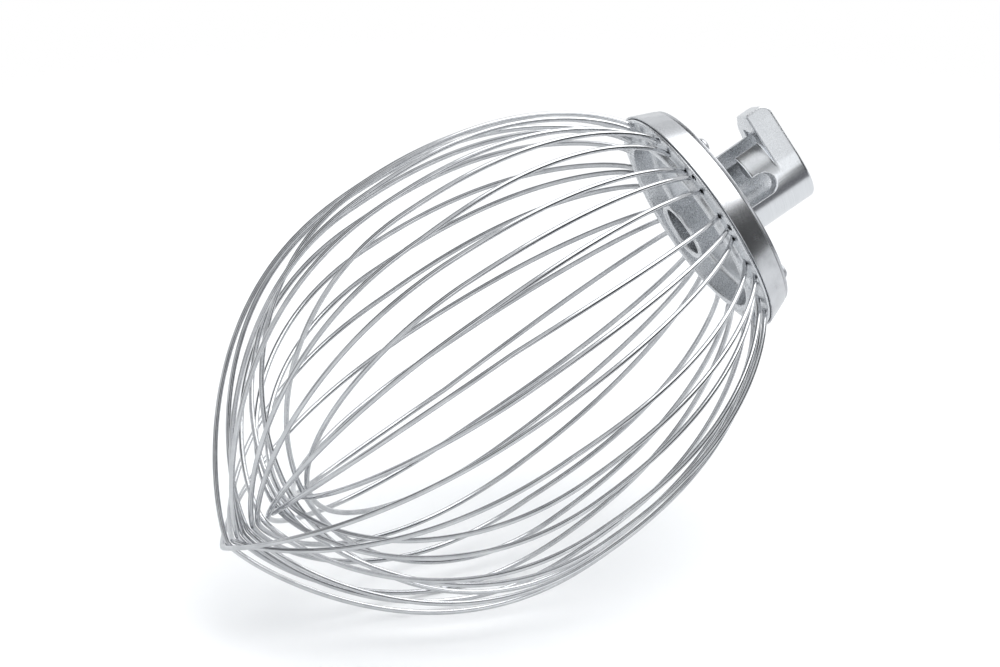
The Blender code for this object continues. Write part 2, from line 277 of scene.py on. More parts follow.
def castGrainGroup():
    # blasted casting: a fine grain, wider blotches and a few sand pits, as a height and masks
    blotchScale, pitScale, pitAreaScale = 130.0, 520.0, 210.0
    group, into, out = newGroup(
        "castGrain",
        (("grainSize", "NodeSocketFloat", 0.5), ("pitAmount", "NodeSocketFloat", 0.4)),
        (("height", "NodeSocketFloat"), ("grain", "NodeSocketFloat"), ("blotch", "NodeSocketFloat")),
    )
    place = group.nodes.new("ShaderNodeTexCoord").outputs["Object"]
    grainScale = mathNode(group, "DIVIDE", 1.0 / mm, into.outputs["grainSize"])
    grain = noiseNode(group, place, grainScale, 4.0, 0.62)
    blotch = noiseNode(group, place, blotchScale, 3.0, 0.5)
    cells = group.nodes.new("ShaderNodeTexVoronoi")
    group.links.new(place, cells.inputs["Vector"])
    cells.inputs["Scale"].default_value = pitScale
    pit = mapRange(group, cells.outputs["Distance"], 0.06, 0.3, 1.0, 0.0, True)
    pitArea = mapRange(group, noiseNode(group, place, pitAreaScale, 1.0), 0.52, 0.62, 0.0, 1.0, True)
    pits = mathNode(group, "MULTIPLY", mathNode(group, "MULTIPLY", pit, pitArea), into.outputs["pitAmount"])
    waves = mathNode(group, "ADD", grain, mathNode(group, "MULTIPLY", blotch, 0.7))
    group.links.new(mathNode(group, "SUBTRACT", waves, pits), out.inputs["height"])
    group.links.new(grain, out.inputs["grain"])
    group.links.new(blotch, out.inputs["blotch"])
    return group


def edgeWearAndShadeGroup():
    # rubbed edges, which are real wear, and painted shade in concave corners, both from how sharply the
    # surface bends
    group, into, out = newGroup(
        "edgeWearAndShade",
        (("strength", "NodeSocketFloat", 1.0),),
        (("rubbed", "NodeSocketFloat"), ("paintedShade", "NodeSocketFloat")),
    )
    bent = group.nodes.new("ShaderNodeNewGeometry").outputs["Pointiness"]
    place = group.nodes.new("ShaderNodeTexCoord").outputs["Object"]
    patchy = mapRange(group, noiseNode(group, place, 300.0, 3.0), 0.35, 0.65, 0.5, 1.0)
    amount = mathNode(group, "MULTIPLY", patchy, into.outputs["strength"])
    edge = mapRange(group, bent, 0.515, 0.58, 0.0, 1.0, True)
    # painted shade: the concave corners, where the surface bends inwards, are darkened
    shadedCorner = mapRange(group, bent, 0.42, 0.485, 1.0, 0.0, True)
    group.links.new(mathNode(group, "MULTIPLY", edge, amount), out.inputs["rubbed"])
    group.links.new(mathNode(group, "MULTIPLY", shadedCorner, amount), out.inputs["paintedShade"])
    return group


def turningLinesGroup():
    # fine lines left by turning, rolling or drawing, across the given vector's directions
    group, into, out = newGroup(
        "turningLines",
        (("vector", "NodeSocketVector", None), ("lineScale", "NodeSocketFloat", 4000.0)),
        (("height", "NodeSocketFloat"), ("scuff", "NodeSocketFloat")),
    )
    lines = noiseNode(group, into.outputs["vector"], into.outputs["lineScale"], 2.0, 0.6)
    place = group.nodes.new("ShaderNodeTexCoord").outputs["Object"]
    scuff = noiseNode(group, place, 90.0, 4.0, 0.6)
    group.links.new(lines, out.inputs["height"])
    group.links.new(scuff, out.inputs["scuff"])
    return group


castGrain = castGrainGroup()
edgeWearAndShade = edgeWearAndShadeGroup()
turningLines = turningLinesGroup()


def newMaterial(name, metallic=1.0):
    material = bpy.data.materials.new(name)
    material.use_nodes = True
    tree = material.node_tree
    shader = tree.nodes["Principled BSDF"]
    shader.inputs["Metallic"].default_value = metallic
    return material, tree, shader


def placeGroup(tree, group, **values):
    node = tree.nodes.new("ShaderNodeGroup")
    node.node_tree = group
    for label, value in values.items():
        if isinstance(value, bpy.types.NodeSocket):
            tree.links.new(value, node.inputs[label])
        else:
            node.inputs[label].default_value = value
    return node


def splitPlace(tree):
    place = tree.nodes.new("ShaderNodeTexCoord").outputs["Object"]
    split = tree.nodes.new("ShaderNodeSeparateXYZ")
    tree.links.new(place, split.inputs[0])
    return [split.outputs[axis] for axis in "XYZ"]


def joinVector(tree, x=None, y=None, z=None):
    join = tree.nodes.new("ShaderNodeCombineXYZ")
    for socket, value in zip(join.inputs, (x, y, z)):
        if value is not None:
            tree.links.new(value, socket)
    return join.outputs[0]


def addBump(tree, shader, height, finish):
    bump = tree.nodes.new("ShaderNodeBump")
    bump.inputs["Strength"].default_value = finish["bump"]
    bump.inputs["Distance"].default_value = finish["bumpDepth"]
    tree.links.new(height, bump.inputs["Height"])
    tree.links.new(bump.outputs["Normal"], shader.inputs["Normal"])


castFinish = {
    "light": (0.82, 0.835, 0.855), "dark": (0.64, 0.655, 0.675),
    # the second colour on the next line is painted shade, a dark grey for concave corners
    "rubbed": (0.90, 0.905, 0.915), "paintedShade": (0.18, 0.19, 0.20),
    "grainSize": 0.75, "pits": 0.5, "wearAndShade": 0.8, "toneLow": 0.15, "toneHigh": 0.78,
    "roughLow": 0.22, "roughHigh": 0.34, "bump": 0.20, "bumpDepth": 0.00012,
    "barrel": 0.0209, "barrelFoot": -0.0443, "lineScale": 3200.0, "turnedTone": 0.6, "turnedRough": 0.72,
}


def castAluminium(finish):
    material, tree, shader = newMaterial("castAluminium")
    grain = placeGroup(tree, castGrain, grainSize=finish["grainSize"], pitAmount=finish["pits"])
    wearAndShade = placeGroup(tree, edgeWearAndShade, strength=finish["wearAndShade"])
    x, y, z = splitPlace(tree)
    length = tree.nodes.new("ShaderNodeVectorMath")
    length.operation = "LENGTH"
    tree.links.new(joinVector(tree, x, y), length.inputs[0])
    fromAxis = length.outputs["Value"]

    # turned is 1 on the barrel's outside, which was turned on the lathe, and 0 elsewhere
    offBarrel = mathNode(tree, "ABSOLUTE", mathNode(tree, "SUBTRACT", fromAxis, finish["barrel"]))
    onBarrel = mapRange(tree, offBarrel, 0.3 * mm, 0.6 * mm, 1.0, 0.0)
    above = mapRange(tree, z, finish["barrelFoot"], finish["barrelFoot"] + 0.6 * mm)
    turned = mathNode(tree, "MULTIPLY", onBarrel, above)
    lathe = joinVector(tree, fromAxis, None, z)
    lines = placeGroup(tree, turningLines, vector=lathe, lineScale=finish["lineScale"]).outputs["height"]

    blotches = mathNode(tree, "MULTIPLY", grain.outputs["blotch"], 0.4)
    speckle = mathNode(tree, "MULTIPLY", grain.outputs["grain"], 0.6)
    tone = mapRange(tree, mathNode(tree, "ADD", blotches, speckle), finish["toneLow"], finish["toneHigh"])
    colour = mixColour(tree, tone, finish["dark"], finish["light"])
    scratched = mixColour(tree, mapRange(tree, lines, 0.35, 0.6), finish["dark"], finish["light"])
    colour = mixColour(tree, mathNode(tree, "MULTIPLY", turned, finish["turnedTone"]), colour, scratched)
    colour = mixColour(tree, wearAndShade.outputs["rubbed"], colour, finish["rubbed"])
    # painted shade: concave corners are mixed towards a dark grey
    colour = mixColour(tree, wearAndShade.outputs["paintedShade"], colour, finish["paintedShade"])
    tree.links.new(colour, shader.inputs["Base Color"])

    rough = mapRange(tree, grain.outputs["grain"], 0.3, 0.7, finish["roughLow"], finish["roughHigh"])
    rough = mathNode(tree, "SUBTRACT", rough, mathNode(tree, "MULTIPLY", wearAndShade.outputs["rubbed"], 0.1))
    smoother = mapRange(tree, turned, 0.0, 1.0, 1.0, finish["turnedRough"])
    tree.links.new(mathNode(tree, "MULTIPLY", rough, smoother), shader.inputs["Roughness"])

    calm = mapRange(tree, turned, 0.0, 1.0, 1.0, 0.25)
    sanded = mathNode(tree, "MULTIPLY", grain.outputs["height"], calm)
    grooves = mathNode(tree, "MULTIPLY", mathNode(tree, "MULTIPLY", lines, turned), 0.2)
    addBump(tree, shader, mathNode(tree, "ADD", sanded, grooves), finish)
    return material


bandFinish = {
    "light": (0.68, 0.69, 0.71), "dark": (0.56, 0.57, 0.59), "roughLow": 0.19, "roughHigh": 0.30,
    "bump": 0.10, "bumpDepth": 0.00002, "around": 0.02, "lineScale": 5200.0, "grainSize": 0.35, "pits": 0.8,
}


def polishedSteel(finish):
    material, tree, shader = newMaterial("polishedSteel")
    x, y, z = splitPlace(tree)
    stretched = [mathNode(tree, "MULTIPLY", axis, finish["around"]) for axis in (x, y)]
    around = joinVector(tree, *stretched, z)
    lines = placeGroup(tree, turningLines, vector=around, lineScale=finish["lineScale"])
    grain = placeGroup(tree, castGrain, grainSize=finish["grainSize"], pitAmount=finish["pits"])
    scuff = lines.outputs["scuff"]
    colour = mixColour(tree, mapRange(tree, scuff, 0.35, 0.68), finish["light"], finish["dark"])
    tree.links.new(colour, shader.inputs["Base Color"])
    rough = mapRange(tree, scuff, 0.3, 0.75, finish["roughLow"], finish["roughHigh"])
    tree.links.new(rough, shader.inputs["Roughness"])
    pitted = mathNode(tree, "MULTIPLY", grain.outputs["height"], 0.25)
    addBump(tree, shader, mathNode(tree, "ADD", lines.outputs["height"], pitted), finish)
    return material


plateFinish = {
    "light": (0.62, 0.63, 0.65), "dark": (0.48, 0.49, 0.51), "roughLow": 0.22, "roughHigh": 0.38,
    "bump": 0.2, "bumpDepth": 0.00003, "alongY": 0.03, "alongZ": 0.5,
}


def rolledSteel(name, finish, lineScale):
    material, tree, shader = newMaterial(name)
    x, y, z = splitPlace(tree)
    y = mathNode(tree, "MULTIPLY", y, finish["alongY"])
    z = mathNode(tree, "MULTIPLY", z, finish["alongZ"])
    lines = placeGroup(tree, turningLines, vector=joinVector(tree, x, y, z), lineScale=lineScale)
    streak = lines.outputs["height"]
    colour = mixColour(tree, mapRange(tree, streak, 0.3, 0.7), finish["dark"], finish["light"])
    tree.links.new(colour, shader.inputs["Base Color"])
    rough = mapRange(tree, lines.outputs["scuff"], 0.3, 0.7, finish["roughLow"], finish["roughHigh"])
    tree.links.new(rough, shader.inputs["Roughness"])
    addBump(tree, shader, streak, finish)
    return material


wireFinish = {
    "light": (0.72, 0.73, 0.745), "dark": (0.56, 0.57, 0.59), "roughLow": 0.08, "roughHigh": 0.18,
    "bump": 0.08, "bumpDepth": 0.00002, "stretch": (0.06, 0.006, 1.0), "lineScale": 6000.0,
}


def drawnWire(finish):
    material, tree, shader = newMaterial("drawnWire")
    lengthwise = tree.nodes.new("ShaderNodeUVMap").outputs["UV"]  # metres along, turns around
    stretch = tree.nodes.new("ShaderNodeVectorMath")
    stretch.operation = "MULTIPLY"
    stretch.inputs[1].default_value = finish["stretch"]
    tree.links.new(lengthwise, stretch.inputs[0])
    lines = placeGroup(tree, turningLines, vector=stretch.outputs[0], lineScale=finish["lineScale"])
    streak = lines.outputs["height"]
    worn = mapRange(tree, lines.outputs["scuff"], 0.3, 0.7)
    colour = mixColour(tree, worn, finish["light"], finish["dark"])
    tree.links.new(colour, shader.inputs["Base Color"])
    rough = mapRange(tree, streak, 0.3, 0.7, finish["roughLow"], finish["roughHigh"])
    tree.links.new(rough, shader.inputs["Roughness"])
    addBump(tree, shader, streak, finish)
    return material


cast = castAluminium(castFinish)
polished = polishedSteel(bandFinish)
plateSteel = rolledSteel("plateSteel", plateFinish, 1500.0)
screwSteel = rolledSteel("screwSteel", plateFinish, 3000.0)
wireSteel = drawnWire(wireFinish)
print("materials made")


# lengths are in millimetres and angles in degrees; z is 0 at the coupler's mouth and goes down the shaft
hub = {
    "barrelR": 20.9, "boreR": 12.7, "boreChamfer": 1.1, "mouthEdge": 0.7, "borePast": 2.0,
    "trackWidth": 11.4, "entryAngle": -63.0, "pocketAngle": 10.5, "entryReach": 24.2, "pocketTop": -16.7,
    "legTop": -26.2, "cutFrom": 4.0, "cutPast": 4.0, "legPast": 3.3, "endMiddle": 15.0, "endLong": 22.0,
    "lugAngle": 8.0, "lugDepth": 12.4, "lugReach": 32.2, "lugEndWidth": 17.0, "lugRound": 5.0, "lugEdge": 0.7,
    "lugBackWidth": 9.0, "lugBackReach": 5.5, "lugRoot": 3.0, "lugRootSlant": 0.62, "lugPastAxis": 2.0,
    "flangeTop": -44.3, "flangeFace": -57.8, "flangeFaceR": 59.1, "topBreak": 0.5, "faceBreak": 0.9,
    "rimInnerR": 46.0, "rimOuterR": 49.2, "rimFace": -61.2, "rimBreak": 0.8, "rimEase": 0.6,
    "dishFloor": -49.5, "dishFillet": 2.8, "dishDraft": 1.2, "bossR": 15.6, "bossEnd": -65.8,
    "voxel": 0.32, "smoothing": 10, "keepShare": 0.25, "turnSteps": 180, "boreSteps": 100,
}
band = {
    "topR": 56.3, "bottomR": 61.0, "top": -44.3, "bottom": -55.9, "thick": 1.2, "fit": 0.3, "edge": 0.45,
    "steps": 256,
}
holes = {
    "groupAngle": 11.0, "groups": 12, "outerR": 56.6, "innerR": 52.0, "spread": 7.0, "tilt": 28.0,
    "clearR": 1.6, "sinkR": 2.0, "sinkOut": 1.0, "sinkTipR": 0.2, "depth": 14.5, "drillOut": 2.5,
    "pocketFloor": -49.2, "pocketInnerR": 45.5, "pocketOuterR": 53.9, "pocketHalf": 10.4, "pocketPast": 1.0,
}
cover = {"radius": 55.4, "boreR": 21.3, "top": -42.4, "thick": 1.5, "edge": 0.3, "holeFit": 0.3, "steps": 192}
screws = {
    "count": 4, "circleR": 51.0, "firstAngle": -34.0, "shankR": 2.0, "length": 8.5, "tipBreak": 0.5,
    "seat": 0.3, "headR": 3.9, "headHigh": 2.0, "flatShare": 0.45, "crownShare": 0.8, "crownHigh": 0.72,
    "edgeHigh": 0.2, "soft": 0.9, "socketR": 1.45, "socketDeep": 1.2, "socketTurn": 0.4, "steps": 48,
}


def coneRadius(z, inset):
    share = (z - band["top"]) / (band["bottom"] - band["top"])
    return band["topR"] + (band["bottomR"] - band["topR"]) * share - inset


def inMetres(points):
    return [(radius * mm, z * mm) for radius, z in points]


def castingProfile(spec):
    inset = band["thick"] + band["fit"]
    barrelR, mouthEdge, top, face = (spec[key] for key in ("barrelR", "mouthEdge", "flangeTop", "flangeFace"))
    topFoot = top - spec["topBreak"]
    faceHead = face + spec["faceBreak"]
    points = [(0.0, 0.0), (barrelR - mouthEdge, 0.0), (barrelR, -mouthEdge), (barrelR, top)]
    points += [(coneRadius(top, inset + spec["topBreak"]), top), (coneRadius(topFoot, inset), topFoot)]
    points += [(coneRadius(faceHead, inset), faceHead), (spec["flangeFaceR"], face)]
    rimIn, rimOut, rimFace, rimBreak, ease = (
        spec[key] for key in ("rimInnerR", "rimOuterR", "rimFace", "rimBreak", "rimEase")
    )
    points += [(rimOut + ease, face), (rimOut, rimFace + rimBreak), (rimOut - rimBreak, rimFace)]
    points += [(rimIn + ease, rimFace), (rimIn, rimFace + ease)]
    fillet, bossR, bossEnd = (spec[key] for key in ("dishFillet", "bossR", "bossEnd"))
    filletZ = spec["dishFloor"] - fillet
    points += arc((rimIn - spec["dishDraft"] - fillet, filletZ), fillet, 0, 90, 8)
    points += arc((bossR + fillet, filletZ), fillet, 90, 180, 8)
    points += [(bossR, bossEnd + mouthEdge), (bossR - mouthEdge, bossEnd), (0.0, bossEnd)]
    return inMetres(points)


def boreProfile(spec):
    boreR, chamfer, past, bossEnd = (spec[key] for key in ("boreR", "boreChamfer", "borePast", "bossEnd"))
    wide = boreR + chamfer + past
    points = [(0.0, past), (wide, past), (boreR, -chamfer), (boreR, bossEnd + chamfer)]
    points += [(wide, bossEnd - past), (0.0, bossEnd - past)]
    return inMetres(points)


def lugShape(spec):
    depth, reach = spec["barrelR"], spec["lugReach"]
    back = depth - spec["lugEndWidth"]
    root = spec["boreR"] + spec["lugRoot"]
    outline = [(depth, 0.0), (depth, -reach), (back, -reach)]
    outline += [(back - spec["lugBackWidth"], -reach + spec["lugBackReach"])]
    outline += [(-root, -root * spec["lugRootSlant"]), (-spec["lugPastAxis"], 0.0)]
    turn = math.radians(spec["lugAngle"])
    front = Vector((math.sin(turn), -math.cos(turn)))
    side = Vector((math.cos(turn), math.sin(turn)))
    points = [tuple((front * forward + side * across) * mm) for forward, across in outline]
    bm = bmesh.new()
    prism(bm, points, -spec["lugDepth"] * mm, 0.0)

    def atEndTop(vertex):
        near = min((vertex.co.to_2d() - Vector(end)).length for end in points[1:3])
        return near < 0.1 * mm and vertex.co.z > -0.1 * mm

    edges = [edge for edge in bm.edges if all(atEndTop(vertex) for vertex in edge.verts)]
    bmesh.ops.bevel(bm, geom=edges, offset=spec["lugRound"] * mm, segments=12, profile=0.5, affect="EDGES")
    bmesh.ops.recalc_face_normals(bm, faces=bm.faces)
    sharp = [edge for edge in bm.edges if edge.calc_face_angle(0.0) > math.radians(30.0)]
    bmesh.ops.bevel(
        bm, geom=sharp, offset=spec["lugEdge"] * mm, segments=3, profile=0.5, affect="EDGES",
        clamp_overlap=True,
    )
    return orderedMesh(bm, "lugShape")


def sector(inner, outer, start, end, steps):
    far = [polar(outer * mm, start + (end - start) * n / steps, 0.0) for n in range(steps + 1)]
    near = [polar(inner * mm, end + (start - end) * n / steps, 0.0) for n in range(steps + 1)]
    return [(point.x, point.y) for point in far + near]


def slotShape(name, angle, near, far, half, bottom, top):
    # a straight-sided cut outwards from the shaft's side of the wall
    out = polar(1.0, angle, 0.0).to_2d()
    along = Vector((-out.y, out.x))
    corners = ((near, -half), (far, -half), (far, half), (near, half))
    bm = bmesh.new()
    prism(bm, [tuple((out * reach + along * wide) * mm) for reach, wide in corners], bottom * mm, top * mm)
    return orderedMesh(bm, name)


def trackShapes(spec):
    half = spec["trackWidth"] / 2.0
    near, barrelR, entry, pocket = (spec[key] for key in ("cutFrom", "barrelR", "entryAngle", "pocketAngle"))
    legBottom = spec["legTop"] - spec["trackWidth"]
    pocketMiddle = spec["pocketTop"] - half
    entryCut = slotShape("entryCut", entry, near, spec["entryReach"], half, legBottom, 1.0)
    spread = math.degrees(math.asin(half / barrelR))
    bm = bmesh.new()
    outline = sector(near, barrelR + spec["legPast"], entry - spread, pocket + spread, 24)
    prism(bm, outline, legBottom * mm, spec["legTop"] * mm)
    legCut = orderedMesh(bm, "legCut")
    pocketCut = slotShape("pocketCut", pocket, near, barrelR + spec["cutPast"], half, legBottom, pocketMiddle)
    bm = bmesh.new()
    place = Matrix.Translation(polar(spec["endMiddle"] * mm, pocket, pocketMiddle * mm))
    turn = Matrix.Rotation(math.radians(pocket), 4, "Z") @ Matrix.Rotation(math.radians(90.0), 4, "X")
    addCone(bm, 64, half, half, spec["endLong"], place @ turn)
    return [entryCut, legCut, pocketCut, orderedMesh(bm, "pocketEndCut")]


def groupMiddles(spec):
    return [spec["groupAngle"] + group * 360.0 / spec["groups"] for group in range(spec["groups"])]


def holePlaces(spec):
    places = []
    for middle in groupMiddles(spec):
        places += [(spec["outerR"], middle), (spec["innerR"], middle - spec["spread"])]
        places += [(spec["innerR"], middle + spec["spread"])]
    return places


def screwPlaces(spec):
    angles = [spec["firstAngle"] + number * 360.0 / spec["count"] for number in range(spec["count"])]
    return [polar(spec["circleR"] * mm, angle, cover["top"] * mm) for angle in angles]


def holeShapes(spec):
    # the drills and sinks have different numbers of sides, so that no two faces lie on each other
    drillSides, sinkSides = 24, 22
    tilt = Matrix.Rotation(math.radians(-spec["tilt"]), 4, "X")
    drill, sink, pockets, screwHoles = (bmesh.new() for _ in range(4))
    for radius, angle in holePlaces(spec):
        turn = Matrix.Rotation(math.radians(angle), 4, "Z") @ tilt
        mouth = Matrix.Translation(polar(radius * mm, angle, hub["flangeFace"] * mm)) @ turn
        middle = spec["depth"] / 2.0 - spec["drillOut"]
        place = mouth @ Matrix.Translation((0.0, 0.0, middle * mm))
        addCone(drill, drillSides, spec["clearR"], spec["clearR"], spec["depth"], place)
        height = spec["sinkR"] + spec["sinkOut"]
        place = mouth @ Matrix.Translation((0.0, 0.0, (height / 2.0 - spec["sinkOut"]) * mm))
        addCone(sink, sinkSides, height, spec["sinkTipR"], height, place)
    half = spec["pocketHalf"]
    for middle in groupMiddles(spec):
        outline = sector(spec["pocketInnerR"], spec["pocketOuterR"], middle - half, middle + half, 6)
        prism(pockets, outline, spec["pocketFloor"] * mm, (hub["flangeTop"] + spec["pocketPast"]) * mm)
    radius = screws["shankR"] + band["fit"]
    for place in screwPlaces(screws):
        length = 2.0 * (screws["length"] + screws["seat"])
        addCone(screwHoles, drillSides, radius, radius, length, Matrix.Translation(place))
    named = ((screwHoles, "screwCut"), (pockets, "wirePocketCut"), (drill, "drillCut"), (sink, "sinkCut"))
    return [orderedMesh(bm, name) for bm, name in named]


def makeCasting(spec):
    piece = newObject("castingBody", turnedMesh("castingBody", castingProfile(spec), spec["turnSteps"]))
    lug = lugShape(spec)
    bore = turnedMesh("boreCut", boreProfile(spec), spec["boreSteps"])
    cuts = [(lug, "UNION")]
    cuts += [(mesh, "DIFFERENCE") for mesh in [bore] + trackShapes(spec) + holeShapes(holes)]
    booleaned(piece, cuts)

    # the remesh and the smoothing round every edge a little, as on a casting
    remesh = piece.modifiers.new("remesh", "REMESH")
    remesh.mode = "VOXEL"
    remesh.voxel_size = spec["voxel"] * mm
    remesh.use_smooth_shade = True
    smooth = piece.modifiers.new("smooth", "SMOOTH")
    smooth.factor = 0.5
    smooth.iterations = spec["smoothing"]
    thin = piece.modifiers.new("thin", "DECIMATE")
    thin.ratio = spec["keepShare"]
    applied(piece)
    dressed(piece, cast)
    standFor(piece, "cast_hub")
    return piece


casting = makeCasting(hub)
print("casting made:", len(casting.data.polygons), "faces")


def makeBand(spec):
    top, bottom, thick = spec["top"], spec["bottom"], spec["thick"]
    corners = ((top, thick), (top, 0.0), (bottom, 0.0), (bottom, thick))
    profile = [(coneRadius(z, inset), z) for z, inset in corners]
    rounded = softened(inMetres(profile), spec["edge"] * mm, 6, True)
    mesh = turnedMesh("bandRing", rounded, spec["steps"], True)
    mesh.shade_smooth()
    piece = newObject("bandRing", mesh, polished)
    standFor(piece, "rim_band")


makeBand(band)


def makeCover(spec):
    bottom = spec["top"] - spec["thick"]
    profile = [(spec["boreR"], spec["top"]), (spec["radius"], spec["top"])]
    profile += [(spec["radius"], bottom), (spec["boreR"], bottom)]
    rounded = softened(inMetres(profile), spec["edge"] * mm, 4, True)
    piece = newObject("coverDisc", turnedMesh("coverDisc", rounded, spec["steps"], True))
    bm = bmesh.new()
    radius = screws["shankR"] + spec["holeFit"]
    for place in screwPlaces(screws):
        addCone(bm, 32, radius, radius, 8.0, Matrix.Translation(place))
    booleaned(piece, [(orderedMesh(bm, "coverHoles"), "DIFFERENCE")])
    dressed(piece, plateSteel, 35)
    standFor(piece, "cover_plate")


def screwProfile(spec):
    headR, shankR, seat, length = (spec[key] for key in ("headR", "shankR", "seat", "length"))
    top = seat + spec["headHigh"]
    points = [(0.0, top), (headR * spec["flatShare"], top)]
    points += [(headR * spec["crownShare"], seat + spec["headHigh"] * spec["crownHigh"])]
    points += [(headR, seat + spec["headHigh"] * spec["edgeHigh"]), (headR, seat), (shankR, seat)]
    points += [(shankR, -length + spec["tipBreak"]), (shankR - spec["tipBreak"], -length), (0.0, -length)]
    return softened(inMetres(points), spec["soft"] * mm, 5)


def makeScrews(spec):
    top = spec["seat"] + spec["headHigh"]
    for number, place in enumerate(screwPlaces(spec)):
        name = f"screw{number + 1}"
        piece = newObject(name, turnedMesh(name, screwProfile(spec), spec["steps"]))
        piece.location = place
        bm = bmesh.new()
        turn = Matrix.Rotation(spec["socketTurn"] * number, 4, "Z")
        mouth = Matrix.Translation(place + Vector((0.0, 0.0, top * mm))) @ turn
        addCone(bm, 6, spec["socketR"], spec["socketR"], 2.0 * spec["socketDeep"], mouth)
        bpy.context.view_layer.update()
        booleaned(piece, [(orderedMesh(bm, "socketCut"), "DIFFERENCE")])
        dressed(piece, screwSteel, 40)
        standFor(piece, f"cover_screw_{number + 1}")


makeCover(cover)
makeScrews(screws)
print("band, cover and screws made")


wires = {
    "radius": 1.3, "count": 18, "hookBend": 1.8, "hookReach": 3.0, "hookLift": 0.8, "exitStraight": 0.8,
    "bellyR": 106.7, "bellyZ": -188.0, "tipZ": -337.3, "tipStep": 2.92,
    "tipOrder": (15, 0, 2, 13, 11, 8, 12, 5, 1, 14, 4, 3, 16, 6, 7, 17, 9, 10),
    "trim": (0.0, -1.5, 1.5, 0.5, -1.0, 1.0, 0.0, 1.0, -1.0, 0.5, -0.5, 1.0, -0.5, 0.5, 1.0, -1.5, -2.0, 0.0),
    "hookSteps": 10, "neckSteps": 120, "tipSteps": 160,
    "neckSpacing": 0.6, "neckPower": 2.4, "neckRound": 0.8,
    "tipPower": 2.0, "tipRound": 0.5, "tipDeepens": 0.3, "sides": 20, "spacing": 1.6, "endShare": 0.86,
}


def bendPoints(start, heading, target, radius, steps):
    side = math.copysign(90.0, target - heading)
    middle = math.radians(heading + side)
    centre = (start[0] + radius * math.cos(middle), start[1] + radius * math.sin(middle))
    return arc(centre, radius, heading - side, target - side, steps)


def halfLoop(spec, number):
    # (radius, z) from the bent end in its pocket, out through the hole and round to the tip
    outer = number % 3 == 0
    holeR = holes["outerR"] if outer else holes["innerR"]
    slope = math.tan(math.radians(holes["tilt"]))
    hookStart = holes["pocketFloor"] + spec["hookLift"]
    bendPoint = (holeR - slope * (hookStart - hub["flangeFace"]), hookStart)
    heading = 180.0 if outer else 0.0
    hook = bendPoints(bendPoint, 90.0 + holes["tilt"], heading, spec["hookBend"], spec["hookSteps"])[::-1]
    reach = -spec["hookReach"] if outer else spec["hookReach"]
    startR = holeR + slope * spec["exitStraight"]
    startZ = hub["flangeFace"] - spec["exitStraight"]
    points = [(hook[0][0] + reach, hook[0][1])] + hook + [(startR, startZ)]

    bellyR, bellyZ = spec["bellyR"], spec["bellyZ"]
    for step in range(1, spec["neckSteps"] + 1):
        share = 1.0 - step / spec["neckSteps"]
        height = bellyZ + (startZ - bellyZ) * share ** spec["neckSpacing"]
        near = (height - bellyZ) / (startZ - bellyZ)
        swell = (1.0 - near ** spec["neckPower"]) ** spec["neckRound"]
        points.append((startR + (bellyR - startR) * swell, height))

    tipPlace = spec["tipOrder"][number]
    tip = spec["tipZ"] + tipPlace * spec["tipStep"]
    deeper = spec["tipDeepens"] * (1.0 - tipPlace / (spec["count"] - 1.0))
    for step in range(1, spec["tipSteps"] + 1):
        along = math.sin(math.radians(90.0 * step / spec["tipSteps"]))
        shape = max(0.0, 1.0 - along ** (spec["tipPower"] + deeper)) ** (spec["tipRound"] + deeper)
        points.append((bellyR * shape, bellyZ + (tip - bellyZ) * along))
    return points


def wirePath(spec, number):
    evenAngle = 180.0 / spec["count"]
    azimuth = holes["groupAngle"] + number * 180.0 / spec["count"]
    lean = (0.0, holes["spread"] - evenAngle, evenAngle - holes["spread"])[number % 3]
    leg = []
    for radius, z in halfLoop(spec, number):
        near = (z - spec["bellyZ"]) / (hub["flangeFace"] - spec["bellyZ"])
        near = min(1.0, max(0.0, near))
        leg.append((radius * mm, azimuth + lean * near + spec["trim"][number] * (1.0 - near), z * mm))
    first = [polar(radius, angle, z) for radius, angle, z in leg]
    second = [polar(radius, angle + 180.0, z) for radius, angle, z in leg[:-1]]
    return first + second[::-1]


def evenPath(points, spacing):
    # the same line with points an even step apart
    lengths = [0.0]
    for a, b in zip(points, points[1:]):
        lengths.append(lengths[-1] + (b - a).length)
    count = max(8, round(lengths[-1] / spacing))
    even, n = [], 0
    for step in range(count + 1):
        wanted = lengths[-1] * step / count
        while n < len(points) - 2 and lengths[n + 1] < wanted:
            n += 1
        share = (wanted - lengths[n]) / max(1e-9, lengths[n + 1] - lengths[n])
        even.append(points[n].lerp(points[n + 1], min(1.0, max(0.0, share))))
    return even, lengths[-1] / count


def tubeMesh(name, path, spec, step):
    bm = bmesh.new()
    layer = bm.loops.layers.uv.new("UVMap")
    sides, last = spec["sides"], len(path) - 1
    tangents = [(path[min(n + 1, last)] - path[max(n - 1, 0)]).normalized() for n in range(len(path))]
    normal = tangents[0].orthogonal().normalized()
    rings = []
    for n, place in enumerate(path):
        if n:
            turn = tangents[n - 1].rotation_difference(tangents[n])
            normal = (turn @ normal).normalized()
        across = tangents[n].cross(normal)
        radius = spec["radius"] * mm * (spec["endShare"] if n in (0, last) else 1.0)
        ring = []
        for m in range(sides):
            angle = 2 * math.pi * m / sides
            outwards = normal * math.cos(angle) + across * math.sin(angle)
            ring.append(bm.verts.new(place + outwards * radius))
        rings.append(ring)
    for n in range(last):
        for m in range(sides):
            k = (m + 1) % sides
            face = bm.faces.new((rings[n][m], rings[n][k], rings[n + 1][k], rings[n + 1][m]))
            for loop, (u, v) in zip(face.loops, ((n, m), (n, m + 1), (n + 1, m + 1), (n + 1, m))):
                loop[layer].uv = (u * step, v / sides)
    bm.faces.new(rings[0][::-1])
    bm.faces.new(rings[-1])
    mesh = plainMesh(bm, name)
    mesh.shade_smooth()
    return mesh


def makeWires(spec):
    for number in range(spec["count"]):
        path, step = evenPath(wirePath(spec, number), spec["spacing"] * mm)
        name = f"loop{number + 1:02d}"
        piece = newObject(name, tubeMesh(name, path, spec, step), wireSteel)
        standFor(piece, f"wire_{number + 1:02d}")


makeWires(wires)
print("wires made")


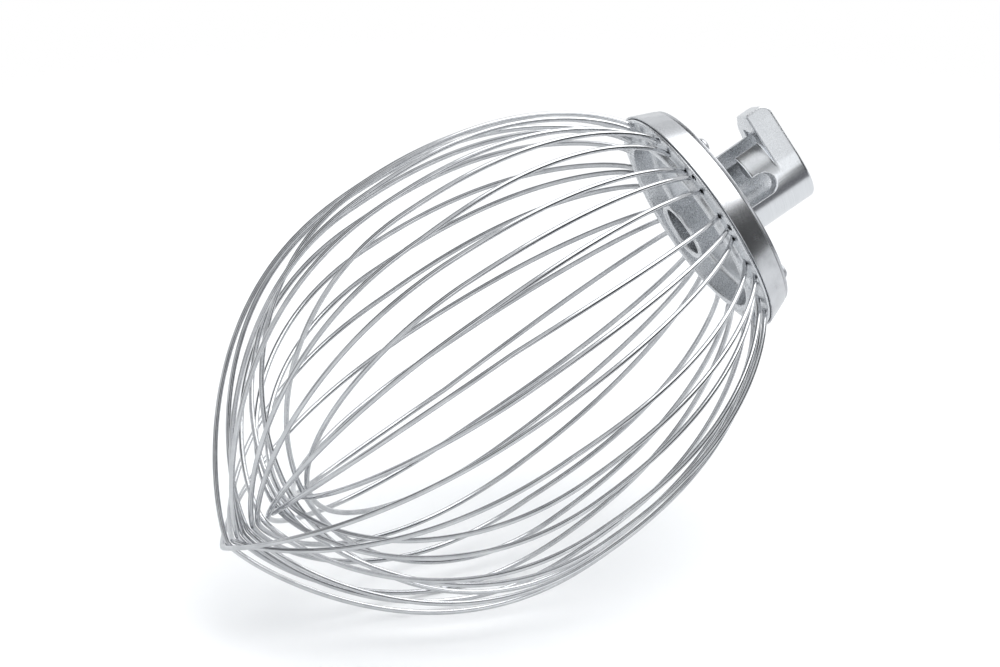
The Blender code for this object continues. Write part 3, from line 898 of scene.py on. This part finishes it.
view = {
    "right": (0.56572, -0.14817, 0.81118), "up": (-0.8246, -0.10165, 0.55651),
    "back": (0.0, -0.98372, -0.17969), "place": (-0.00939, -2.37624, -0.60188), "lens": 180.0,
}
right, up, back = (Vector(view[key]) for key in ("right", "up", "back"))


def fromView(aim):
    # a direction given as (right, up, towards the viewer) at the camera
    return right * aim[0] + up * aim[1] + back * aim[2]


def makeCamera(spec):
    data = bpy.data.cameras.new("camera")
    data.lens = spec["lens"]
    data.sensor_width = 36.0
    data.clip_start, data.clip_end = 0.1, 20.0
    camera = bpy.data.objects.new("camera", data)
    bpy.context.scene.collection.objects.link(camera)
    turn = Matrix((right, up, back)).transposed().to_4x4()
    camera.matrix_world = Matrix.Translation(Vector(spec["place"])) @ turn
    bpy.context.scene.camera = camera


floorSpec = {
    "tilt": 25.0, "size": 3.0, "centreZ": -0.19, "gap": 0.0005, "rough": 0.9, "specular": 0.1,
    # mirrored and patch are painted dark reflections: floor colours that only reflections see
    "colour": (0.955, 0.96, 0.965), "patchyScale": 6.0, "patchyShare": 0.995, "mirrored": (0.70, 0.705, 0.71),
    "patch": (0.10, 0.10, 0.11), "patchAim": (0.784, -0.263, 0.563), "patchFar": 0.95, "patchWide": 0.52,
    "patchSoft": 0.04, "fadeFrom": 0.35, "fadeTo": 0.75,
}


def distanceTo(tree, place, point):
    node = tree.nodes.new("ShaderNodeVectorMath")
    node.operation = "DISTANCE"
    tree.links.new(place, node.inputs[0])
    node.inputs[1].default_value = tuple(point)
    return node.outputs["Value"]


def paleFloor(spec, middle):
    # reflections see a darker floor with a dark patch, which are painted dark reflections on the metal; the
    # camera sees it fade into the background
    material, tree, shader = newMaterial("paleFloor", 0.0)
    place = tree.nodes.new("ShaderNodeTexCoord").outputs["Object"]
    rays = tree.nodes.new("ShaderNodeLightPath")
    tone = mapRange(tree, noiseNode(tree, place, spec["patchyScale"], 2.0), 0.3, 0.7)
    duller = tuple(part * spec["patchyShare"] for part in spec["colour"])
    shade = mixColour(tree, tone, spec["colour"], duller)
    # painted dark reflection: a dark patch on the floor, placed where the metal reflects it
    near, far = spec["patchWide"] - spec["patchSoft"], spec["patchWide"] + spec["patchSoft"]
    patchMiddle = middle + fromView(spec["patchAim"]) * spec["patchFar"]
    patch = mapRange(tree, distanceTo(tree, place, patchMiddle), near, far, 1.0, 0.0, True)
    mirrored = mixColour(tree, patch, spec["mirrored"], spec["patch"])
    # painted dark reflection: glossy rays see the darker floor and its patch
    colour = mixColour(tree, rays.outputs["Is Glossy Ray"], shade, mirrored)
    tree.links.new(colour, shader.inputs["Base Color"])
    shader.inputs["Roughness"].default_value = spec["rough"]
    shader.inputs["Specular IOR Level"].default_value = spec["specular"]
    behind = tree.nodes.new("ShaderNodeNewGeometry").outputs["Backfacing"]
    faded = mapRange(tree, distanceTo(tree, place, middle), spec["fadeFrom"], spec["fadeTo"], 0.0, 1.0, True)
    unseen = mathNode(tree, "MULTIPLY", faded, rays.outputs["Is Camera Ray"])
    blend = tree.nodes.new("ShaderNodeMixShader")
    tree.links.new(mathNode(tree, "MAXIMUM", behind, unseen), blend.inputs[0])
    tree.links.new(shader.outputs[0], blend.inputs[1])
    tree.links.new(tree.nodes.new("ShaderNodeBsdfTransparent").outputs[0], blend.inputs[2])
    tree.links.new(blend.outputs[0], tree.nodes["Material Output"].inputs["Surface"])
    return material


def makeFloor(spec):
    tilt = math.radians(spec["tilt"])
    floorUp = (up * math.cos(tilt) + back * math.sin(tilt)).normalized()
    lowest = min(
        (piece.matrix_world @ vertex.co).dot(floorUp)
        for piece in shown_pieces() for vertex in piece.data.vertices
    )
    centre = Vector((0.0, 0.0, spec["centreZ"]))
    middle = floorUp * (lowest - spec["gap"]) + (centre - floorUp * floorUp.dot(centre))
    sideways = floorUp.orthogonal().normalized()
    across = floorUp.cross(sideways)
    half = spec["size"] / 2.0
    signs = ((-1, -1), (1, -1), (1, 1), (-1, 1))
    corners = [middle + sideways * a * half + across * b * half for a, b in signs]
    mesh = bpy.data.meshes.new("floor")
    mesh.from_pydata(corners, [], [(0, 1, 2, 3)])
    if mesh.polygons[0].normal.dot(floorUp) < 0:
        mesh.flip_normals()
    floor = newObject("floor", mesh, paleFloor(spec, middle))
    floor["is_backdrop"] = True


# each aim is (right, up, towards the viewer), and each edge and soft is in degrees
room = {
    "white": 1.0, "fill": 1.0, "glossBase": 0.74, "tint": (0.97, 0.985, 1.0), "backdrop": (1.0, 1.0, 1.0),
    "panels": (
        {"aim": (0.57, -0.23, 0.79), "edge": 17.0, "soft": 5.0, "glow": 0.75},
        {"aim": (-0.55, 0.25, -0.80), "edge": 40.0, "soft": 20.0, "glow": 0.20},
    ),
    "darks": (
        {"aim": (0.93, -0.05, 0.36), "edge": 32.0, "soft": 6.0, "keep": 0.08},
        {"aim": (-0.64, 0.76, 0.05), "edge": 24.0, "soft": 7.0, "keep": 0.12},
        {"aim": (-0.06, 0.28, 0.96), "edge": 16.0, "soft": 5.0, "keep": 0.08},
        {"aim": (-0.95, 0.0, 0.3), "edge": 14.0, "soft": 6.0, "keep": 0.25},
    ),
}


def makeRoom(spec):
    # reflections see panels and dark screens, diffuse light is even, and the camera sees a white background
    world = bpy.data.worlds.new("studio")
    bpy.context.scene.world = world
    world.use_nodes = True
    tree = world.node_tree
    tree.nodes.clear()
    direction = tree.nodes.new("ShaderNodeTexCoord").outputs["Generated"]

    def disc(spot):
        node = tree.nodes.new("ShaderNodeVectorMath")
        node.operation = "DOT_PRODUCT"
        tree.links.new(direction, node.inputs[0])
        node.inputs[1].default_value = tuple(fromView(spot["aim"]).normalized())
        outer = math.cos(math.radians(spot["edge"] + spot["soft"]))
        inner = math.cos(math.radians(spot["edge"] - spot["soft"]))
        return mapRange(tree, node.outputs["Value"], outer, inner, 0.0, 1.0, True)

    def background(strength, colour):
        glow = tree.nodes.new("ShaderNodeBackground")
        glow.inputs["Color"].default_value = (*colour, 1.0)
        if isinstance(strength, bpy.types.NodeSocket):
            tree.links.new(strength, glow.inputs["Strength"])
        else:
            glow.inputs["Strength"].default_value = strength
        return glow.outputs[0]

    def chosen(share, first, second):
        blend = tree.nodes.new("ShaderNodeMixShader")
        for socket, value in zip(blend.inputs, (share, first, second)):
            tree.links.new(value, socket)
        return blend.outputs[0]

    level = spec["glossBase"]
    for spot in spec["panels"]:
        level = mathNode(tree, "ADD", level, mathNode(tree, "MULTIPLY", disc(spot), spot["glow"]))
    for spot in spec["darks"]:
        level = mathNode(tree, "MULTIPLY", level, mapRange(tree, disc(spot), 0.0, 1.0, 1.0, spot["keep"]))
    rays = tree.nodes.new("ShaderNodeLightPath").outputs
    even, studio = background(spec["fill"], spec["tint"]), background(level, spec["tint"])
    lit = chosen(rays["Is Glossy Ray"], even, studio)
    shown = chosen(rays["Is Camera Ray"], lit, background(spec["white"], spec["backdrop"]))
    tree.links.new(shown, tree.nodes.new("ShaderNodeOutputWorld").inputs["Surface"])


softbox = {"aim": (0.44, 0.875, 0.2), "far": 1.5, "wide": 1.9, "watts": 17.0, "targetZ": -0.17}
keyLight = {"aim": (0.28, 0.80, 0.53), "far": 1.3, "wide": 1.3, "watts": 9.0, "targetZ": -0.17}


def makeLamp(name, spec, mirrored):
    # a mirrored lamp is only seen in reflections; any other one only lights diffuse surfaces
    data = bpy.data.lights.new(name, "AREA")
    data.shape = "DISK"
    data.size = spec["wide"]
    data.energy = spec["watts"]
    lamp = bpy.data.objects.new(name, data)
    bpy.context.scene.collection.objects.link(lamp)
    target = Vector((0.0, 0.0, spec["targetZ"]))
    lamp.location = target + fromView(spec["aim"]).normalized() * spec["far"]
    lamp.rotation_mode = "QUATERNION"
    lamp.rotation_quaternion = (lamp.location - target).to_track_quat("Z", "Y")
    lamp.visible_glossy = mirrored
    lamp.visible_diffuse = not mirrored
    lamp.visible_camera = False


makeCamera(view)
makeFloor(floorSpec)
makeRoom(room)
makeLamp("softbox", softbox, True)
makeLamp("keyLight", keyLight, False)
bpy.context.scene.view_settings.view_transform = "Standard"
print("studio made")
